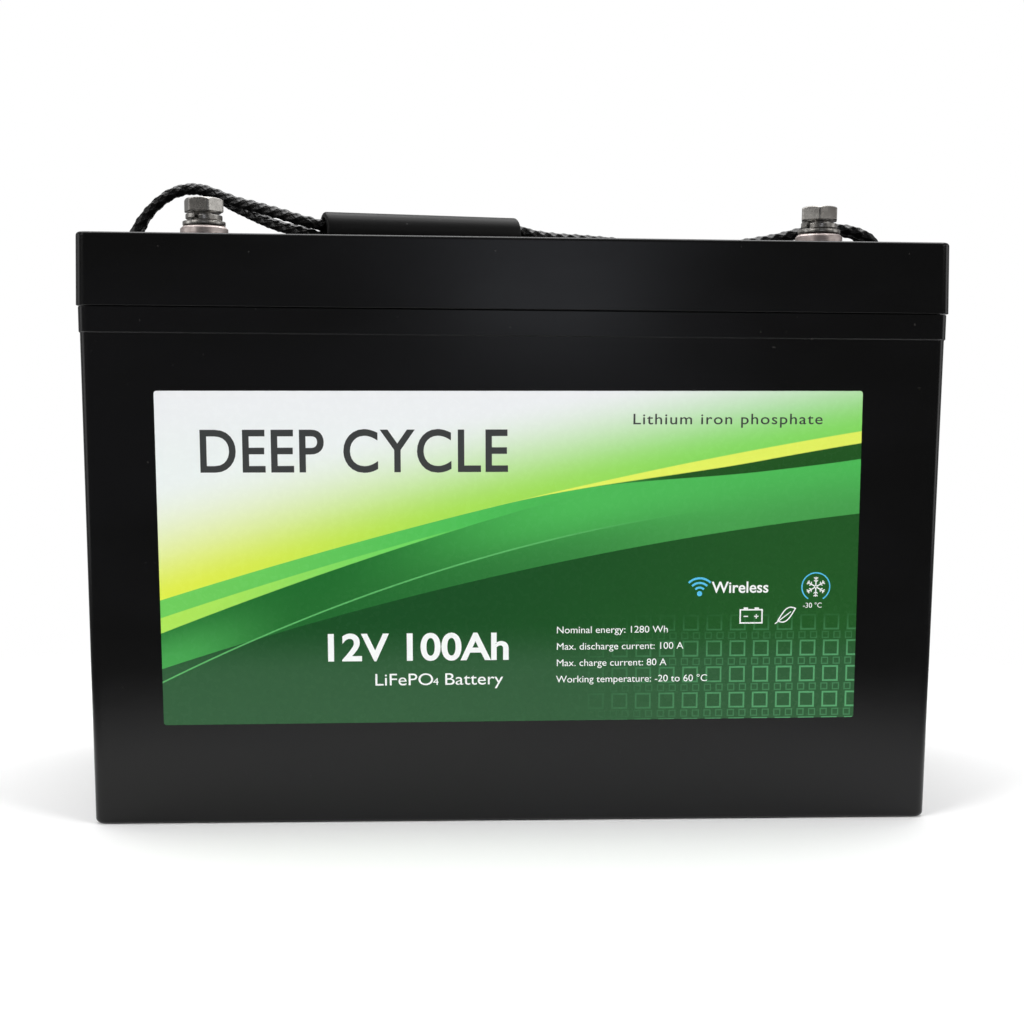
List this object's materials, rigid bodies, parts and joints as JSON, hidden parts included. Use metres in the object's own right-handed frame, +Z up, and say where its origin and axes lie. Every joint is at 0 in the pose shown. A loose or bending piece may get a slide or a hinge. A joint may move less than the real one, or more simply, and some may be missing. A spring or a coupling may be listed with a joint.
{
  "type": "deep cycle battery",
  "caption": "Deep cycle lithium battery in a moulded black case with bolt terminals and a rope carrying handle.",
  "frame": {"origin": "middle of the base, on the surface it stands on", "axes": "+X along the case towards the negative terminal, -Y out of the labelled front, +Z up"},
  "size_m": [0.3074, 0.169, 0.2369],
  "materials": {
    "case_plastic": "semi-gloss moulded black",
    "label_film": "glossy printed film, white to green bands",
    "nickel": "nickel plated, turned",
    "stainless": "plain stainless fasteners",
    "rope_braid": "black braided polyester",
    "grip_plastic": "satin black tube",
    "cell_can": "aluminium can in blue film",
    "aluminium": "mill finish",
    "copper": "bright copper",
    "circuit_board": "green solder mask",
    "barrier_sheet": "pale glass-epoxy sheet",
    "foam": "closed-cell foam",
    "rubber": "matt black rubber",
    "heater_film": "orange silicone film",
    "strap_steel": "bare steel band",
    "red_sleeve": "red silicone insulation",
    "black_sleeve": "black silicone insulation"
  },
  "bodies": {
    "root": {"case": "case_plastic", "lid": "case_plastic", "lid_seal": "rubber", "front_label": "label_film", "positive_post": "nickel", "negative_post": "nickel", "positive_post_seal": "rubber", "negative_post_seal": "rubber", "positive_post_nut": "nickel", "negative_post_nut": "nickel", "rope_stop_left_front": "aluminium", "rope_stop_left_rear": "aluminium", "rope_stop_right_front": "aluminium", "rope_stop_right_rear": "aluminium", "cell_1": "cell_can", "cell_2": "cell_can", "cell_3": "cell_can", "cell_4": "cell_can", "cell_spacer_1": "barrier_sheet", "cell_spacer_2": "barrier_sheet", "cell_spacer_3": "barrier_sheet", "end_plate_left": "aluminium", "end_plate_right": "aluminium", "stack_strap_front": "strap_steel", "stack_strap_rear": "strap_steel", "busbar_1": "copper", "busbar_2": "copper", "busbar_3": "copper", "floor_pad": "foam", "heater_film": "heater_film", "end_foam_left": "foam", "end_foam_right": "foam", "sense_board": "circuit_board", "temperature_probe": "rubber", "cell_barrier": "barrier_sheet", "bms_heat_sink": "aluminium", "bms_board": "circuit_board", "mosfet_clamp_bar": "aluminium", "sense_connector": "barrier_sheet", "wireless_module": "circuit_board", "positive_post_lug": "copper", "negative_post_lug": "copper", "positive_cell_lug": "copper", "negative_cell_lug": "copper", "bms_input_lug": "copper", "bms_output_lug": "copper", "positive_lead": "red_sleeve", "negative_lead": "black_sleeve", "output_lead": "black_sleeve"},
    "positive_washers": {"positive_flat_washer": "stainless", "positive_spring_washer": "stainless"},
    "positive_bolt": {"positive_bolt": "stainless"},
    "negative_washers": {"negative_flat_washer": "stainless", "negative_spring_washer": "stainless"},
    "negative_bolt": {"negative_bolt": "stainless"},
    "handle_rope": {"rope_left_front": "rope_braid", "rope_left_rear": "rope_braid", "rope_right_front": "rope_braid", "rope_right_rear": "rope_braid"},
    "grip": {"grip_tube": "grip_plastic"}
  },
  "joints": [
    {"name": "positive_bolt_lift", "type": "slide", "parent": "root", "child": "positive_washers", "axis": [0, 0, 1], "range_m": [0, 0.015]},
    {"name": "positive_bolt_turn", "type": "hinge", "parent": "positive_washers", "child": "positive_bolt", "pos_m": [-0.1127, -0.054, 0.2187], "axis": [0, 0, 1], "range_deg": [0, 4320]},
    {"name": "negative_bolt_lift", "type": "slide", "parent": "root", "child": "negative_washers", "axis": [0, 0, 1], "range_m": [0, 0.015]},
    {"name": "negative_bolt_turn", "type": "hinge", "parent": "negative_washers", "child": "negative_bolt", "pos_m": [0.1127, -0.054, 0.2187], "axis": [0, 0, 1], "range_deg": [0, 4320]},
    {"name": "handle_lift", "type": "slide", "parent": "root", "child": "handle_rope", "axis": [0, 0, 1], "range_m": [0, 0.042], "deforming": ["rope_left_front", "rope_left_rear", "rope_right_front", "rope_right_rear"]},
    {"name": "grip_turn", "type": "hinge", "parent": "handle_rope", "child": "grip", "pos_m": [-0.03405, -0.01105, 0.21732], "axis": [0.9556, 0.2939, 0.0185], "continuous": true}
  ],
  "couplings": [
    {"joint": "positive_bolt_turn", "follows": "positive_bolt_lift", "rad_per_m": 5026.5},
    {"joint": "negative_bolt_turn", "follows": "negative_bolt_lift", "rad_per_m": 5026.5}
  ]
}
